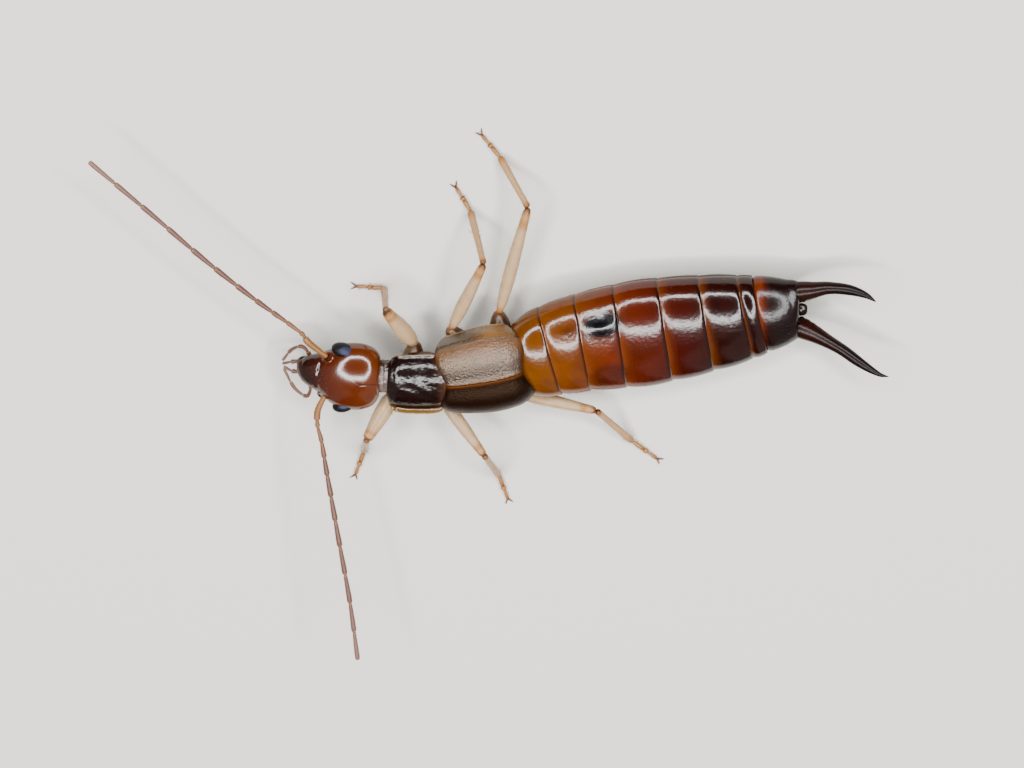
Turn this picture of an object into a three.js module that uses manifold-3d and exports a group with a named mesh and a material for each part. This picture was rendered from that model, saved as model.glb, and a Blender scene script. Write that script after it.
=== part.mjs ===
import * as THREE from 'three';
import { mergeVertices } from 'three/addons/utils/BufferGeometryUtils.js';
import Module from 'manifold-3d';

// A still, life-size model of an adult earwig, 16 mm from mouth to forceps tips.
// Millimetres, +Z up. The head points to -X, the animal's right side to +Y,
// and the feet and the belly stand on the plane z = 0.

const wasm = await Module();
wasm.setup();

// Clearances and fineness
const GAP = 0.1;
const EYE_GAP = 0.05;
const BODY_SIDES = 24;
const INNER_SIDES = 16;
const LIMB_SIDES = 8;
const SMALL_LIMB_SIDES = 6;
const EYE_MESH = [16, 12];
const STATION = 0.3;
const SPINE_STEP = 0.05;
const MERGE_DISTANCE = 1e-5;
const STEEP = 0.9;
const FLOOR_DEPTH = 4;
const FAR = 60;

// The plan of the body's middle line: x, y.
const SPINE = [
  [-5.77, 1.13],
  [-5.2, 1.04],
  [-4.6, 0.975],
  [-4.1, 0.965],
  [-3.4, 0.93],
  [-2.6, 0.9],
  [-1.9, 0.94],
  [-0.6, 1.16],
  [0.25, 1.34],
  [1.68, 1.7],
  [3.47, 1.97],
  [5.64, 2.33],
  [7.64, 2.75],
];

// Upright sections from front to rear: x, half width, lowest z, widest z, highest z.
const HEAD = [
  [-5.76, 0.14, 1.14, 1.24, 1.34],
  [-5.66, 0.33, 1.04, 1.24, 1.46],
  [-5.48, 0.445, 0.97, 1.25, 1.57],
  [-5.2, 0.56, 0.92, 1.3, 1.7],
  [-4.95, 0.74, 0.9, 1.36, 1.84],
  [-4.72, 0.9, 0.89, 1.4, 1.92],
  [-4.4, 0.985, 0.89, 1.42, 1.98],
  [-4.08, 0.985, 0.91, 1.43, 1.99],
  [-3.86, 0.9, 0.95, 1.43, 1.95],
  [-3.73, 0.77, 1.02, 1.42, 1.87],
  [-3.64, 0.62, 1.1, 1.42, 1.76],
];
const UPPER_LIP = [
  [-5.82, 0.2, 1.12, 1.2, 1.28],
  [-5.58, 0.3, 1.12, 1.3, 1.46],
];
const NECK = [
  [-3.76, 0.44, 1.1, 1.4, 1.64],
  [-3.4, 0.55, 1.0, 1.38, 1.68],
  [-3.0, 0.56, 0.95, 1.36, 1.66],
];
const PRONOTUM_PLATE = [
  [-3.3, 0.68, 1.5, 1.68, 1.84],
  [-3.22, 0.8, 1.46, 1.7, 1.9],
  [-2.6, 0.84, 1.42, 1.7, 1.97],
  [-2.0, 0.85, 1.44, 1.72, 2.0],
  [-1.82, 0.72, 1.5, 1.76, 1.98],
  [-1.7, 0.44, 1.6, 1.8, 1.92],
];
const PROTHORAX = [
  [-3.2, 0.5, 0.86, 1.2, 1.6],
  [-2.6, 0.62, 0.72, 1.15, 1.7],
  [-1.86, 0.6, 0.7, 1.15, 1.7],
];
const THORAX = [
  [-1.74, 0.66, 0.68, 1.1, 1.52],
  [-1.2, 0.84, 0.56, 1.05, 1.56],
  [-0.5, 0.92, 0.5, 1.0, 1.56],
  [0.18, 0.86, 0.48, 0.98, 1.52],
];
const WING_DOME = [
  [-2.02, 0.9, 0.9, 1.32, 2.04],
  [-1.8, 1.0, 0.8, 1.3, 2.1],
  [-1.2, 1.15, 0.7, 1.28, 2.2],
  [-0.6, 1.22, 0.7, 1.26, 2.22],
  [0.0, 1.14, 0.7, 1.26, 2.18],
  [0.26, 1.0, 0.8, 1.28, 2.12],
  [0.4, 0.74, 0.9, 1.3, 2.06],
];
const ABDOMEN = [
  [0.3, 0.98, 0.46, 1.02, 1.66],
  [0.76, 1.26, 0.3, 0.98, 1.78],
  [1.68, 1.42, 0.12, 0.92, 1.74],
  [2.4, 1.48, 0.02, 0.88, 1.68],
  [3.47, 1.57, -0.03, 0.82, 1.62],
  [4.55, 1.5, -0.03, 0.8, 1.58],
  [5.64, 1.37, 0.02, 0.8, 1.54],
  [6.45, 1.22, 0.12, 0.84, 1.5],
  [6.72, 1.15, 0.16, 0.86, 1.48],
];
const END_SEGMENT = [
  [6.78, 1.1, 0.2, 0.88, 1.48],
  [7.1, 1.04, 0.26, 0.9, 1.46],
  [7.45, 0.91, 0.38, 0.92, 1.38],
  [7.72, 0.78, 0.5, 0.93, 1.26],
];

// Plates of the abdomen: where each starts, how far each stands over the next.
const TERGITE_STARTS = [0.3, 1.08, 1.92, 2.94, 4.17, 5.26, 6.31];
const ABDOMEN_END = 6.68;
const TERGITE_STEP = 0.05;
const TERGITE_EDGE = 0.03;

// How square the body's sections are: 2 is an ellipse, and more is squarer.
const ELLIPSE = 2;
const HEAD_SQUARENESS = 2.1;
const WING_SQUARENESS = 2.2;
const CHEST_SQUARENESS = 2.3;
const LIP_SQUARENESS = 2.6;

// Wing cases: the walls are thinner at the sides than on top by this share.
const WING_THICKNESS = 0.5;
const WING_SIDE_SHARE = 0.8;
const WING_LOW_EDGE = 1.12;
const SUTURE_WIDTH = 0.08;

// Eyes: centre along the body, out from its middle line, and up; half sizes; turn in plan.
const EYE_X = -4.6;
const EYE_OUT = 0.82;
const EYE_Z = 1.52;
const EYE_HALF = [0.3, 0.2, 0.25];
const EYE_TURN = 0.3;

// Jaws: x, distance out from the middle line, z.
const JAW = [
  [-5.45, 0.3, 1.05],
  [-5.74, 0.3, 1.02],
  [-5.86, 0.08, 1.04],
];
const JAW_RADIUS = 0.13;
const JAW_TIP_RADIUS = 0.065;
const JAW_STEPS = 4;

// Feelers: the scape's root, the pedicel and a few points on to the tip.
const ANTENNA_SEGMENTS = 12;
const ANTENNA_RADIUS = 0.25;
const ANTENNA_TIP_RADIUS = 0.14;
const ANTENNA_TAPER_FROM = 0.7;
const ANTENNA_WAIST = 0.035;
const ANTENNA_WAIST_POWER = 4;
const ANTENNAE = {
  antenna_right: [
    [-5.0, 1.46, 1.4],
    [-5.57, 2.16, 1.5],
    [-6.94, 3.36, 1.56],
    [-8.9, 5.19, 1.62],
    [-11.24, 7.5, 1.7],
  ],
  antenna_left: [
    [-5.1, 0.5, 1.46],
    [-5.27, -0.26, 1.66],
    [-5.09, -1.3, 1.84],
    [-4.73, -3.66, 2.08],
    [-4.24, -7.33, 2.3],
  ],
};

// Palps beside the mouth
const PALP_RADIUS = 0.17;
const PALP_TIP_RADIUS = 0.1;
const PALP_STEPS = 8;
const PALPS = {
  palp_right: [
    [-5.36, 1.36, 0.98],
    [-5.62, 1.66, 0.9],
    [-5.98, 1.56, 0.8],
    [-6.2, 1.22, 0.72],
  ],
  palp_left: [
    [-5.36, 0.62, 0.98],
    [-5.58, 0.06, 0.9],
    [-5.9, 0.26, 0.8],
    [-6.2, 0.78, 0.7],
  ],
};

// Forceps: root, two points on the way, and the inturned tip.
const FORCEPS_ROOT_RADIUS = 0.3;
const FORCEPS_RADIUS = 0.25;
const FORCEPS_TIP_RADIUS = 0.07;
const FORCEPS_ROOT_SHARE = 0.3;
const FORCEPS_TAPER_SHARES = [0.5, 1.05];
const FORCEPS_SIDES = 10;
const FORCEPS_STEPS = 9;
const FORCEPS = {
  forceps_right: [
    [7.5, 3.24, 0.94],
    [8.1, 3.36, 0.98],
    [9.07, 3.44, 1.17],
    [9.8, 3.2, 1.42],
  ],
  forceps_left: [
    [7.5, 2.28, 0.94],
    [8.35, 1.93, 1.02],
    [9.41, 1.285, 1.25],
    [10.19, 0.956, 1.43],
  ],
};

// Legs: hip, thigh root, knee, ankle and toe, with the thigh's largest radius.
const LEG_RADIUS = 0.25;
const KNEE_RADIUS = 0.22;
const TOE_RADIUS = 0.12;
const HIP_RADIUS = 0.3;
const THIGH_ROOT_SHARE = 0.25;
const THIGH_STEPS = 4;
const FOOT_STEPS = 3;
const LEGS = {
  leg_front_right: {
    thigh: 0.3,
    joints: [
      [-2.7, 1.2, 0.95],
      [-2.62, 1.72, 0.9],
      [-3.39, 3.05, 1.65],
      [-3.46, 2.98, 0.24],
      [-4.2, 3.0, 0.12],
    ],
  },
  leg_middle_right: {
    thigh: 0.28,
    joints: [
      [-1.3, 1.45, 0.8],
      [-1.66, 2.1, 0.85],
      [-0.76, 4.36, 1.48],
      [-1.12, 5.3, 0.24],
      [-1.45, 5.95, 0.12],
    ],
  },
  leg_hind_right: {
    thigh: 0.28,
    joints: [
      [-0.3, 1.8, 0.75],
      [-0.4, 2.45, 0.72],
      [0.43, 5.85, 1.1],
      [-0.33, 6.9, 0.22],
      [-0.8, 7.5, 0.12],
    ],
  },
  leg_front_left: {
    thigh: 0.28,
    joints: [
      [-2.85, 0.62, 0.95],
      [-3.14, 0.3, 0.9],
      [-3.95, -0.94, 1.5],
      [-4.05, -2.0, 0.24],
      [-4.3, -2.7, 0.12],
    ],
  },
  leg_middle_left: {
    thigh: 0.28,
    joints: [
      [-1.6, 0.75, 0.8],
      [-2.0, 0.12, 0.8],
      [-0.75, -1.48, 1.4],
      [-0.36, -2.75, 0.24],
      [-0.12, -3.45, 0.12],
    ],
  },
  leg_hind_left: {
    thigh: 0.28,
    joints: [
      [-0.25, 0.75, 0.72],
      [-0.15, 0.1, 0.6],
      [2.3, -0.37, 0.88],
      [3.3, -1.7, 0.24],
      [3.95, -2.25, 0.12],
    ],
  },
};

// Colours and gloss of the outer skin
const FINISHES = {
  head: { color: 0x96420e, roughness: 0.28 },
  eye: { color: 0x1c2233, roughness: 0.2 },
  feeler: { color: 0x8a5a40, roughness: 0.45 },
  shield: { color: 0x2c0c05, roughness: 0.25 },
  pale: { color: 0xd2ad80, roughness: 0.45 },
  underside: { color: 0x3a1c0c, roughness: 0.4 },
  wing_case: { color: 0x5a3212, roughness: 0.35 },
  abdomen: { color: 0x7c3408, roughness: 0.25 },
  dark_end: { color: 0x1a0503, roughness: 0.22 },
  forceps: { color: 0x4a1408, roughness: 0.25 },
};

// Smooth value of one column of a table at x; the end rows hold beyond the ends.
function valueAt(rows, x, column) {
  const last = rows.length - 1;
  if (x <= rows[0][0]) return rows[0][column];
  if (x >= rows[last][0]) return rows[last][column];
  const left = rows.findIndex((row) => row[0] > x) - 1;
  const slopeAt = (index) => {
    const before = rows[Math.max(index - 1, 0)];
    const after = rows[Math.min(index + 1, last)];
    return (after[column] - before[column]) / (after[0] - before[0]);
  };
  const span = rows[left + 1][0] - rows[left][0];
  const t = (x - rows[left][0]) / span;
  const startPull = slopeAt(left) * span;
  const endPull = slopeAt(left + 1) * span;
  const start = rows[left][column];
  const end = rows[left + 1][column];
  const bend = 2 * (start - end) + startPull + endPull;
  const arch = 3 * (end - start) - 2 * startPull - endPull;
  return start + t * (startPull + t * (arch + t * bend));
}

// The frame of an upright section: its middle and the direction to the animal's right.
function sectionFrame(x) {
  const rise = valueAt(SPINE, x + SPINE_STEP, 1) - valueAt(SPINE, x - SPINE_STEP, 1);
  const side = new THREE.Vector3(-rise, 2 * SPINE_STEP, 0).normalize();
  return { middle: new THREE.Vector3(x, valueAt(SPINE, x, 1), 0), side };
}

// Three.js geometry to a solid for cutting and joining.
function toSolid(geometry) {
  geometry.deleteAttribute('normal');
  geometry.deleteAttribute('uv');
  const merged = mergeVertices(geometry, MERGE_DISTANCE);
  const mesh = new wasm.Mesh({
    numProp: 3,
    vertProperties: new Float32Array(merged.attributes.position.array),
    triVerts: new Uint32Array(merged.index.array),
  });
  return new wasm.Manifold(mesh);
}

// A closed skin over rings of points, drawn flat to the middle of its end rings.
function skinOverRings(rings, firstPole, lastPole) {
  const sides = rings[0].length;
  const rows = rings.length + 1;
  const skin = new THREE.SphereGeometry(1, sides, rows);
  const place = skin.attributes.position;
  for (let row = 0; row <= rows; row++) {
    for (let column = 0; column <= sides; column++) {
      let point = rings[row - 1]?.[column % sides];
      if (row === 0) point = firstPole;
      if (row === rows) point = lastPole;
      place.setXYZ(row * (sides + 1) + column, point.x, point.y, point.z);
    }
  }
  return toSolid(skin);
}

// A round or squarish number for an angle's sine or cosine.
const squared = (value, power) => Math.sign(value) * Math.abs(value) ** (2 / power);

// A body part along the spine: upright rings at each station [x, extra growth].
function bodyLoft(rows, stations, grow = 0, power = ELLIPSE, sides = BODY_SIDES) {
  const ends = [0, stations.length - 1];
  const rings = [];
  const poles = [];
  stations.forEach(([x, extra], index) => {
    const more = grow + extra;
    let reach = 0;
    if (index === ends[0]) reach = -grow;
    if (index === ends[1]) reach = grow;
    const { middle, side } = sectionFrame(x + reach);
    const [halfWidth, low, wide, high] = [1, 2, 3, 4].map((column) => valueAt(rows, x, column));
    const ring = [];
    for (let i = 0; i < sides; i++) {
      const turn = (i / sides) * 2 * Math.PI;
      const up = squared(Math.cos(turn), power);
      const out = squared(Math.sin(turn), power);
      const height = up > 0 ? high - wide + more : wide - low + more;
      const point = middle.clone().addScaledVector(side, out * (halfWidth + more));
      point.z = wide + up * height;
      ring.push(point);
    }
    rings.push(ring);
    if (ends.includes(index)) poles.push(new THREE.Vector3(middle.x, middle.y, wide));
  });
  return skinOverRings(rings, poles[0], poles[1]);
}

// Even stations from one end of a table to the other.
function evenStations(rows) {
  const start = rows[0][0];
  const span = rows[rows.length - 1][0] - start;
  const steps = Math.ceil(span / STATION);
  return Array.from({ length: steps + 1 }, (_, i) => [start + (span * i) / steps, 0]);
}

// A limb with round ends along a path, its radius given by the share of its length.
function limb(path, radiusAt, steps, grow = 0, sides = LIMB_SIDES) {
  const length = path.getLength();
  const startRadius = radiusAt(0) + grow;
  const endRadius = radiusAt(1) + grow;
  const diagonal = Math.SQRT1_2;
  const stations = [[startRadius * (1 - diagonal) - grow, diagonal]];
  const first = startRadius - grow;
  const last = length - endRadius + grow;
  for (let i = 0; i <= steps; i++) stations.push([first + ((last - first) * i) / steps, 1]);
  stations.push([length - endRadius * (1 - diagonal) + grow, diagonal]);
  const pointAlong = (distance) => {
    const share = THREE.MathUtils.clamp(distance / length, 0, 1);
    const along = path.getTangentAt(share);
    const beyond = distance - share * length;
    return { point: path.getPointAt(share).addScaledVector(along, beyond), along, share };
  };
  const rings = stations.map(([distance, scale]) => {
    const { point, along, share } = pointAlong(distance);
    const steep = Math.abs(along.z) > STEEP;
    const guide = steep ? new THREE.Vector3(1, 0, 0) : new THREE.Vector3(0, 0, 1);
    const side = new THREE.Vector3().crossVectors(guide, along).normalize();
    const up = new THREE.Vector3().crossVectors(along, side);
    const radius = (radiusAt(share) + grow) * scale;
    return Array.from({ length: sides }, (_, i) => {
      const turn = (i / sides) * 2 * Math.PI;
      const ringPoint = point.clone().addScaledVector(up, radius * Math.cos(turn));
      return ringPoint.addScaledVector(side, radius * Math.sin(turn));
    });
  });
  return skinOverRings(rings, pointAlong(-grow).point, pointAlong(length + grow).point);
}

const asPoints = (rows) => rows.map((row) => new THREE.Vector3(...row));
const smoothPath = (rows) => new THREE.CatmullRomCurve3(asPoints(rows), false, 'centripetal');
function straightPath(from, to) {
  return new THREE.LineCurve3(new THREE.Vector3(...from), new THREE.Vector3(...to));
}

// A box from its lowest to its highest corner.
function block(low, high) {
  const size = high.map((value, axis) => value - low[axis]);
  const box = new THREE.BoxGeometry(...size);
  box.translate(...high.map((value, axis) => (value + low[axis]) / 2));
  return toSolid(box);
}

// The one largest closed body of a solid.
function largestBody(solid) {
  const bodies = solid.decompose();
  return bodies.reduce((best, body) => (body.volume() > best.volume() ? body : best));
}

const join = (solids) => largestBody(solids.reduce((all, solid) => all.add(solid)));
const cut = (solid, cutters) => largestBody(cutters.reduce((left, cutter) => left.subtract(cutter), solid));
const floorBlock = block([-FAR, -FAR, -FLOOR_DEPTH], [FAR, FAR, 0]);

// Eye: a flattened ball set in the side of the head; side is 1 for the right one.
function eye(side, grow = 0) {
  const ball = new THREE.SphereGeometry(1, ...EYE_MESH);
  ball.scale(...EYE_HALF.map((half) => half + grow));
  const { middle } = sectionFrame(EYE_X);
  ball.rotateZ(side * -EYE_TURN);
  ball.translate(EYE_X, middle.y + side * EYE_OUT, EYE_Z);
  return toSolid(ball);
}

// Jaw: a short hook that closes in front of the mouth.
function jaw(side) {
  const { middle } = sectionFrame(JAW[0][0]);
  const rows = JAW.map(([x, out, z]) => [x, middle.y + side * out, z]);
  const radiusAt = (t) => THREE.MathUtils.lerp(JAW_RADIUS, JAW_TIP_RADIUS, t);
  return limb(smoothPath(rows), radiusAt, JAW_STEPS, 0, SMALL_LIMB_SIDES);
}

// Feeler: a row of bead-like segments, narrowest at each joint.
function antenna(name, grow = 0) {
  const radiusAt = (t) => {
    const taper = THREE.MathUtils.smoothstep(t, ANTENNA_TAPER_FROM, 1);
    const radius = THREE.MathUtils.lerp(ANTENNA_RADIUS, ANTENNA_TIP_RADIUS, taper);
    const nearJoint = Math.abs(Math.cos(Math.PI * ANTENNA_SEGMENTS * t)) ** ANTENNA_WAIST_POWER;
    return radius - ANTENNA_WAIST * nearJoint;
  };
  return limb(smoothPath(ANTENNAE[name]), radiusAt, ANTENNA_SEGMENTS * 2, grow);
}

function palp(name, grow = 0) {
  const radiusAt = (t) => THREE.MathUtils.lerp(PALP_RADIUS, PALP_TIP_RADIUS, t);
  return limb(smoothPath(PALPS[name]), radiusAt, PALP_STEPS, grow, SMALL_LIMB_SIDES);
}

function forceps(name, grow = 0) {
  const radiusAt = (t) => {
    if (t < FORCEPS_ROOT_SHARE) {
      return THREE.MathUtils.lerp(FORCEPS_ROOT_RADIUS, FORCEPS_RADIUS, t / FORCEPS_ROOT_SHARE);
    }
    const taper = THREE.MathUtils.smoothstep(t, ...FORCEPS_TAPER_SHARES);
    return THREE.MathUtils.lerp(FORCEPS_RADIUS, FORCEPS_TIP_RADIUS, taper);
  };
  return limb(smoothPath(FORCEPS[name]), radiusAt, FORCEPS_STEPS, grow, FORCEPS_SIDES);
}

// Leg: hip, thigh, shin and foot joined in one piece; the foot stands flat on the floor.
function leg(name, grow = 0) {
  const { thigh, joints } = LEGS[name];
  const [hip, thighRoot, knee, ankle, toe] = joints;
  const swellAt = (t) => Math.sin(Math.PI * Math.min(1, t + THIGH_ROOT_SHARE));
  const thighAt = (t) => THREE.MathUtils.lerp(KNEE_RADIUS, thigh, swellAt(t));
  const footAt = (t) => THREE.MathUtils.lerp(LEG_RADIUS, TOE_RADIUS, t ** 2);
  return join([
    limb(straightPath(hip, thighRoot), () => HIP_RADIUS, 1, grow),
    limb(straightPath(thighRoot, knee), thighAt, THIGH_STEPS, grow),
    limb(straightPath(knee, ankle), () => LEG_RADIUS, 1, grow),
    limb(straightPath(ankle, toe), footAt, FOOT_STEPS, grow),
  ]);
}

// Abdomen: plates that each stand a little over the front of the next.
function abdomen(grow = 0) {
  const stations = [];
  TERGITE_STARTS.forEach((start, index) => {
    const end = TERGITE_STARTS[index + 1] ?? ABDOMEN_END;
    stations.push([start, -TERGITE_STEP], [(start + end) / 2, 0], [end - TERGITE_EDGE, 0]);
  });
  return bodyLoft(ABDOMEN, stations, grow);
}

// A body part with stations at even distances.
const evenLoft = (rows, grow, power, sides) => bodyLoft(rows, evenStations(rows), grow, power, sides);

const headStations = HEAD.map(([x]) => [x, 0]);
const head = (grow) => bodyLoft(HEAD, headStations, grow, HEAD_SQUARENESS);
const prothorax = (grow) => evenLoft(PROTHORAX, grow, CHEST_SQUARENESS, INNER_SIDES);
const pronotum = (grow) => join([evenLoft(PRONOTUM_PLATE, grow), prothorax(grow)]);
const thorax = (grow) => evenLoft(THORAX, grow, CHEST_SQUARENESS);

// Both wing cases as one roof: a dome less the thorax under it and all below its low edge.
function wingRoof(grow) {
  const dome = evenLoft(WING_DOME, grow, WING_SQUARENESS);
  const inside = WING_THICKNESS + grow;
  const hollowRows = WING_DOME.map(([x, halfWidth, low, wide, high]) => {
    return [x, halfWidth - inside * WING_SIDE_SHARE, low, wide, high - inside];
  });
  const hollow = evenLoft(hollowRows, 0, WING_SQUARENESS, INNER_SIDES);
  const under = block([-FAR, -FAR, -FAR], [FAR, FAR, WING_LOW_EDGE - grow]);
  return grow > 0 ? cut(dome, [under]) : cut(dome, [under, hollow]);
}

// One wing case: the roof on its own side of the seam between the two.
function wingCase(side) {
  const ends = [WING_DOME[0], WING_DOME[WING_DOME.length - 1]];
  const seam = ends.map(([x]) => new THREE.Vector3(x, valueAt(SPINE, x, 1), 0));
  const along = seam[1].clone().sub(seam[0]);
  const half = new THREE.BoxGeometry(FAR, FAR, FAR);
  half.translate(0, (-side * (FAR - SUTURE_WIDTH)) / 2, 0);
  half.rotateZ(Math.atan2(along.y, along.x));
  half.translate(seam[0].x, seam[0].y, 0);
  return cut(wingRoof(0), [toSolid(half), pronotum(GAP), thorax(GAP)]);
}

const legNames = Object.keys(LEGS);
const antennaNames = Object.keys(ANTENNAE);
const palpNames = Object.keys(PALPS);
const forcepsNames = Object.keys(FORCEPS);
const grownPalps = palpNames.map((name) => palp(name, GAP));
const onHead = [...antennaNames.map((name) => antenna(name, GAP)), ...grownPalps];
const eyeSockets = [eye(1, EYE_GAP), eye(-1, EYE_GAP)];
const grownLegs = legNames.map((name) => leg(name, GAP));
const grownForceps = forcepsNames.map((name) => forceps(name, GAP));

const earwig = new THREE.Group();

function addNode(name, solid, finish) {
  const { vertProperties, triVerts } = solid.getMesh();
  const geometry = new THREE.BufferGeometry();
  geometry.setAttribute('position', new THREE.BufferAttribute(vertProperties, 3));
  geometry.setIndex(new THREE.BufferAttribute(triVerts, 1));
  geometry.computeVertexNormals();
  const material = new THREE.MeshStandardMaterial({ ...FINISHES[finish], metalness: 0 });
  const mesh = new THREE.Mesh(geometry, material);
  mesh.name = name;
  earwig.add(mesh);
}

const upperLip = evenLoft(UPPER_LIP, 0, LIP_SQUARENESS, INNER_SIDES);
const wholeHead = join([head(0), upperLip, jaw(1), jaw(-1)]);
addNode('head', cut(wholeHead, [...eyeSockets, ...onHead]), 'head');
addNode('eye_right', eye(1), 'eye');
addNode('eye_left', eye(-1), 'eye');
antennaNames.forEach((name) => addNode(name, antenna(name), 'feeler'));
palpNames.forEach((name) => addNode(name, palp(name), 'feeler'));
const neck = evenLoft(NECK, 0, ELLIPSE, INNER_SIDES);
addNode('neck', cut(neck, [head(GAP), pronotum(GAP), ...grownLegs]), 'pale');
addNode('pronotum', cut(pronotum(0), grownLegs), 'shield');
addNode('thorax', cut(thorax(0), [pronotum(GAP), ...grownLegs]), 'underside');
addNode('wing_case_right', cut(wingCase(1), grownLegs), 'wing_case');
addNode('wing_case_left', cut(wingCase(-1), grownLegs), 'wing_case');
addNode('abdomen', cut(abdomen(), [wingRoof(GAP), thorax(GAP), ...grownLegs, floorBlock]), 'abdomen');
addNode('end_segment', cut(evenLoft(END_SEGMENT, 0), grownForceps), 'dark_end');
forcepsNames.forEach((name) => addNode(name, forceps(name), 'forceps'));
legNames.forEach((name) => addNode(name, cut(leg(name), [floorBlock]), 'pale'));

// The origin is under the middle of the whole animal, on the floor.
const box = new THREE.Box3().setFromObject(earwig);
const middle = box.getCenter(new THREE.Vector3());
earwig.position.set(-middle.x, -middle.y, -box.min.z);

export default earwig;
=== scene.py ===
# %% [markdown]
# # An adult earwig, life size, standing on a pale floor
# An earwig is a long, low insect. Hard glossy plates cover it, and each plate laps over the front of
# the next. Every plate, limb and claw is modelled here as a piece of its own, as on the animal.
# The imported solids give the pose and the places; the pieces below take their place at real thickness.

# %% Load the frame
import math
import random

import bpy
from mathutils import Matrix, Vector


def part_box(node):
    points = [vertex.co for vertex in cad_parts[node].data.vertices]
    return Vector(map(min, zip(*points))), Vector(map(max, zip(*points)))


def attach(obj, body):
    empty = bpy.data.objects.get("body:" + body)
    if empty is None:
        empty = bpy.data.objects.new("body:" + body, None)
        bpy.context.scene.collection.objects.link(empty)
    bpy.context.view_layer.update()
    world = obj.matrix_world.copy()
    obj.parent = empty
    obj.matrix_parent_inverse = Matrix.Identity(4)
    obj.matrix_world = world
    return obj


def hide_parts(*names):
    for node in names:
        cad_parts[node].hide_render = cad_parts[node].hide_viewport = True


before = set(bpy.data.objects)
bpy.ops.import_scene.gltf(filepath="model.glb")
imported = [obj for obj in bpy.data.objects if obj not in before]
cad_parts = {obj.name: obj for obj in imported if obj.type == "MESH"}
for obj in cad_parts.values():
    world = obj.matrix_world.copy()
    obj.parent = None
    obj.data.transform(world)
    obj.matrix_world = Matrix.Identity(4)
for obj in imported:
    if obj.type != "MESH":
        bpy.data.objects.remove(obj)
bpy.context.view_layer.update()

MM = 0.001
random.seed(16)

# %% [markdown]
# ## Where the body lies
# The body isn't straight: seen from above, its middle line bends a little behind the head and again
# behind the shoulders. A short table holds that line, and a smooth curve runs through its rows.
# The solids were drawn in millimetres from another corner, so the eyes' boxes tell the shift.

# %% The middle line
SPINE = [(-5.77, 1.13), (-5.2, 1.04), (-4.6, 0.975), (-4.1, 0.965), (-3.4, 0.93), (-2.6, 0.9),
         (-1.9, 0.94), (-0.6, 1.16), (0.25, 1.34), (1.68, 1.7), (3.47, 1.97), (5.64, 2.33), (7.64, 2.75)]
EYE_X = -4.6
EYE_Z = 1.52


def value_at(rows, x, column=1):
    """A smooth value of one column of a table at x; the end rows hold beyond the ends."""
    if x <= rows[0][0]:
        return rows[0][column]
    if x >= rows[-1][0]:
        return rows[-1][column]
    left = next(i for i in range(len(rows) - 1) if rows[i + 1][0] > x)

    def slope(i):
        before, after = rows[max(i - 1, 0)], rows[min(i + 1, len(rows) - 1)]
        return (after[column] - before[column]) / (after[0] - before[0])

    span = rows[left + 1][0] - rows[left][0]
    t = (x - rows[left][0]) / span
    start, end = rows[left][column], rows[left + 1][column]
    pull, stop = slope(left) * span, slope(left + 1) * span
    return start + t * (pull + t * (3 * (end - start) - 2 * pull - stop
                                    + t * (2 * (start - end) + pull + stop)))


def box_centre(node):
    low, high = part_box(node)
    return (Vector(low) + Vector(high)) / 2


eye_middle = (box_centre("eye_right") + box_centre("eye_left")) / 2
SHIFT = eye_middle - Vector((EYE_X, value_at(SPINE, EYE_X), EYE_Z)) * MM
print("shift of the frame in mm:", [round(v / MM, 3) for v in SHIFT])


def place(x, y, z):
    """A point in the animal's own millimetres, given in the frame's metres."""
    return Vector((x, y, z)) * MM + SHIFT


# %% [markdown]
# ## The camera
# A long lens looks down on the back from the animal's right, 27 degrees off the vertical, so the
# picture is almost free of perspective. Its frame is 27.75 mm wide at the animal.

# %% Camera
TILT = math.radians(27)
LENS_DISTANCE = 180
FRAME_WIDTH = 27.75
AIM_HEIGHT = 1.2
aim = place(0, AIM_HEIGHT * math.tan(TILT), AIM_HEIGHT)
lens = bpy.data.cameras.new("camera")
camera = bpy.data.objects.new("camera", lens)
bpy.context.scene.collection.objects.link(camera)
camera.location = aim + Vector((0, math.sin(TILT), math.cos(TILT))) * LENS_DISTANCE * MM
camera.rotation_euler = (-TILT, 0, 0)
lens.angle = 2 * math.atan(FRAME_WIDTH / 2 / LENS_DISTANCE)
lens.clip_start = 0.01
lens.clip_end = 5
bpy.context.scene.camera = camera
print("lens angle in degrees:", round(math.degrees(lens.angle), 2))

# %% [markdown]
# ## How the pieces are made
# Almost every plate and limb of an insect is a tube of changing width. By hand, such a tube starts as a
# disc, and its face is extruded, moved and scaled from station to station. The helper below does just
# that along X; the finished tube is then laid on the body's middle line or between two joints.

# %% Helpers for modelling


def deselect():
    if bpy.context.object and bpy.context.object.mode != "OBJECT":
        bpy.ops.object.mode_set(mode="OBJECT")
    bpy.ops.object.select_all(action="DESELECT")


def only(piece):
    deselect()
    piece.select_set(True)
    bpy.context.view_layer.objects.active = piece


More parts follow.
